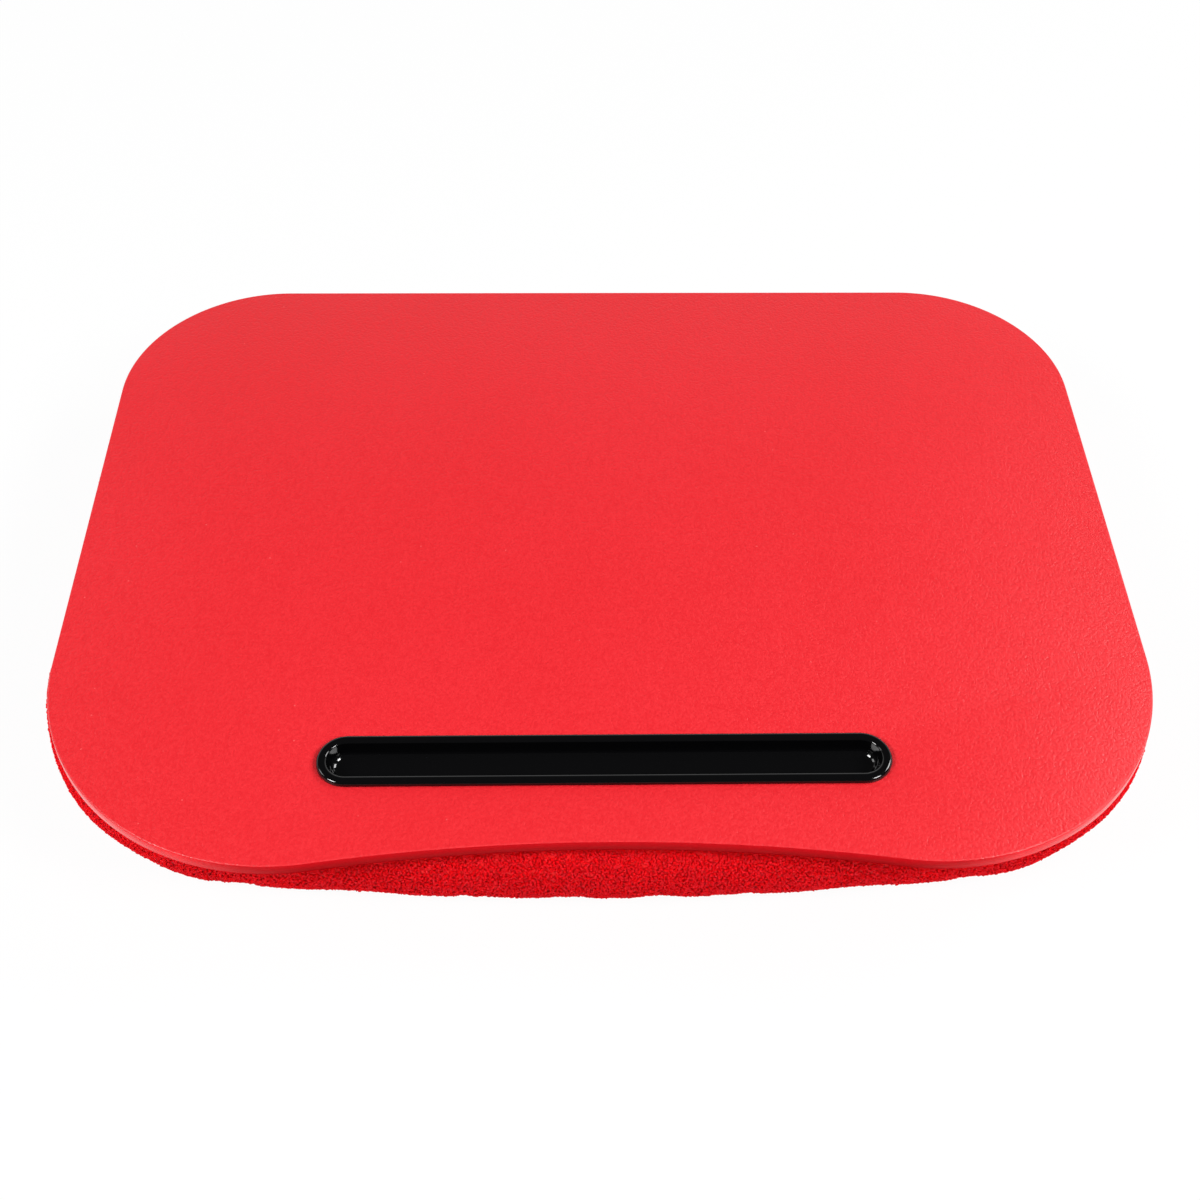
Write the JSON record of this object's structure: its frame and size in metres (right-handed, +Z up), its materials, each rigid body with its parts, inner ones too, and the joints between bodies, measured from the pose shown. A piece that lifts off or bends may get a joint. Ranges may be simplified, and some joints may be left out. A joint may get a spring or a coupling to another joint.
{
  "type": "laptop tray",
  "caption": "Laptop tray: flat board with rounded corners, a hollowed front edge and a pen trough, held by hook-and-loop patches on a bead-filled plush cushion with a zip.",
  "frame": {"origin": "on the surface that the tray stands on, under the middle of the board's width and depth", "axes": "+X to the right of the person who sits at the tray, +Y away from them, +Z up"},
  "size_m": [0.4164, 0.3, 0.0521],
  "materials": {
    "red_paint": "satin paint with a fine sand grain, glossier on the edge",
    "black_gloss": "gloss",
    "black_tape": "matte hook-and-loop tape",
    "red_plush": "short tufted pile",
    "red_cloth": "matte plain weave",
    "white_cloth": "matte plain weave",
    "white_beads": "matte expanded beads",
    "red_tape": "matte woven tape",
    "red_teeth": "satin moulded",
    "zinc": "nickel plated"
  },
  "bodies": {
    "cushion": {"plush_cover": "red_plush", "cushion_top_panel": "red_cloth", "loop_patch_back_left": "black_tape", "loop_patch_back_right": "black_tape", "loop_patch_front_left": "black_tape", "loop_patch_front_right": "black_tape", "liner_lower_panel": "white_cloth", "liner_upper_panel": "white_cloth", "bead_filling": "white_beads", "zip_tape_upper": "red_tape", "zip_tape_lower": "red_tape", "zip_teeth_upper": "red_teeth", "zip_teeth_lower": "red_teeth", "zip_bottom_stop": "zinc", "zip_top_stop_upper": "zinc", "zip_top_stop_lower": "zinc"},
    "deck": {"deck_board": "red_paint", "hook_patch_back_left": "black_tape", "hook_patch_back_right": "black_tape", "hook_patch_front_left": "black_tape", "hook_patch_front_right": "black_tape"},
    "pen_tray": {"pen_tray": "black_gloss"},
    "zip_slider": {"zip_slider": "zinc"},
    "zip_pull": {"zip_pull": "zinc"}
  },
  "joints": [
    {"name": "deck_lift", "type": "slide", "parent": "cushion", "child": "deck", "axis": [0, 0, 1], "range_m": [0, 0.08]},
    {"name": "pen_tray_lift", "type": "slide", "parent": "deck", "child": "pen_tray", "axis": [0, 0, 1], "range_m": [0, 0.03]},
    {"name": "zip_slide", "type": "slide", "parent": "cushion", "child": "zip_slider", "axis": [-1, 0, 0], "range_m": [0, 0.195], "deforming": ["zip_teeth_upper", "zip_teeth_lower"]},
    {"name": "zip_pull_flip", "type": "hinge", "parent": "zip_slider", "child": "zip_pull", "pos_m": [0.0985, 0.13769, 0.022], "axis": [0, 0, -1], "range_deg": [0, 150]}
  ]
}
